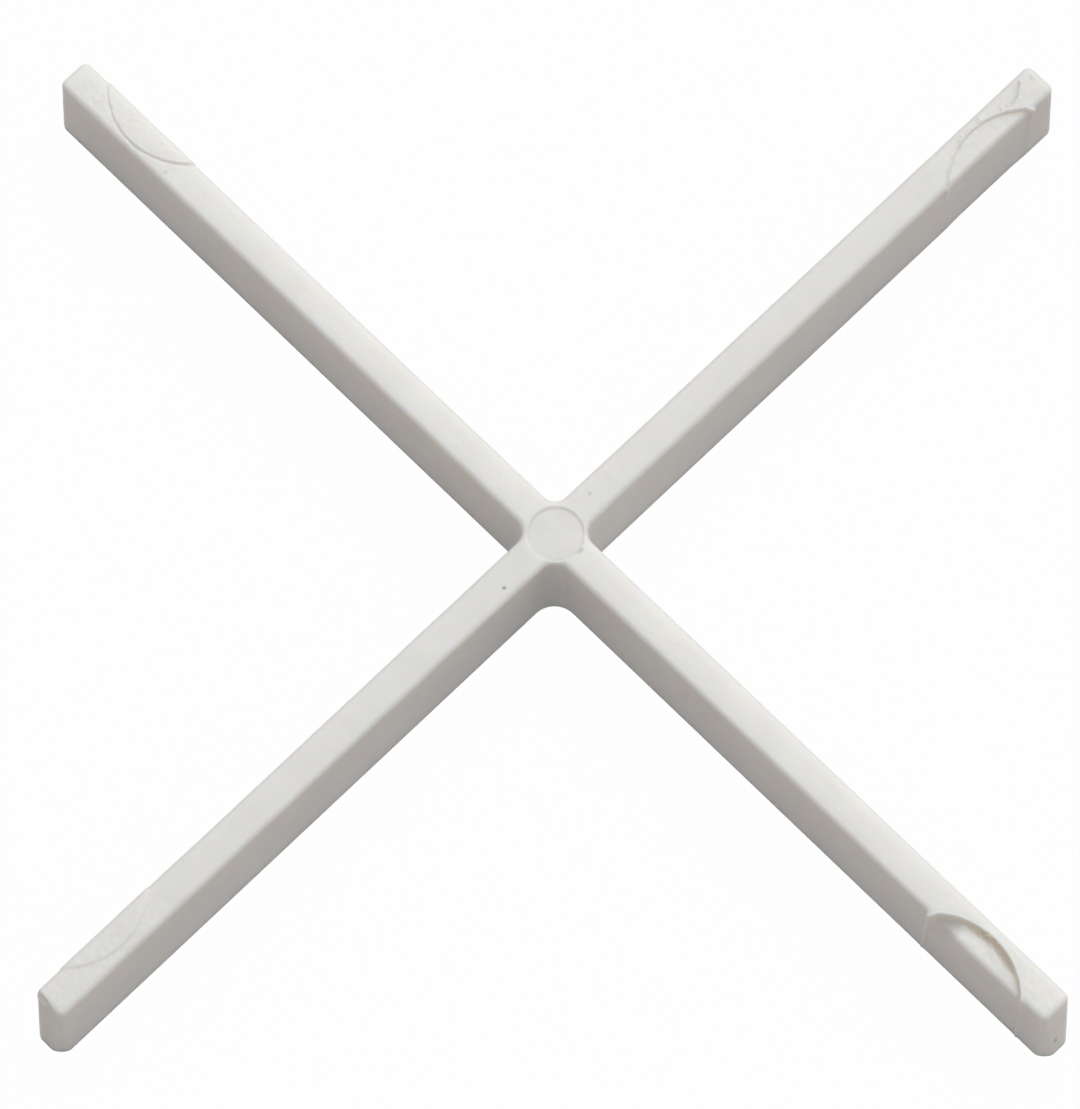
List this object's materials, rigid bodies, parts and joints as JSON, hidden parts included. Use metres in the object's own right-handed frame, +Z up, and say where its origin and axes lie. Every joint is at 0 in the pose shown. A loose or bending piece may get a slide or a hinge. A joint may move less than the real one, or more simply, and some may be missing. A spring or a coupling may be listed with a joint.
{
  "type": "tile spacer",
  "caption": "One-piece moulded cross with tall slim arms that stand between the corners of tiles and set the width of their joints.",
  "frame": {"origin": "centre of the hub on the flat underside", "axes": "+Z up out of the joint, away from the bed that the spacer stands on; the arms lie along X and Y"},
  "size_m": [0.0514, 0.0514, 0.0043],
  "materials": {
    "white_plastic": "fine matt moulded plastic, slightly warm white"
  },
  "bodies": {
    "root": {"cross_spacer": "white_plastic"}
  },
  "joints": []
}
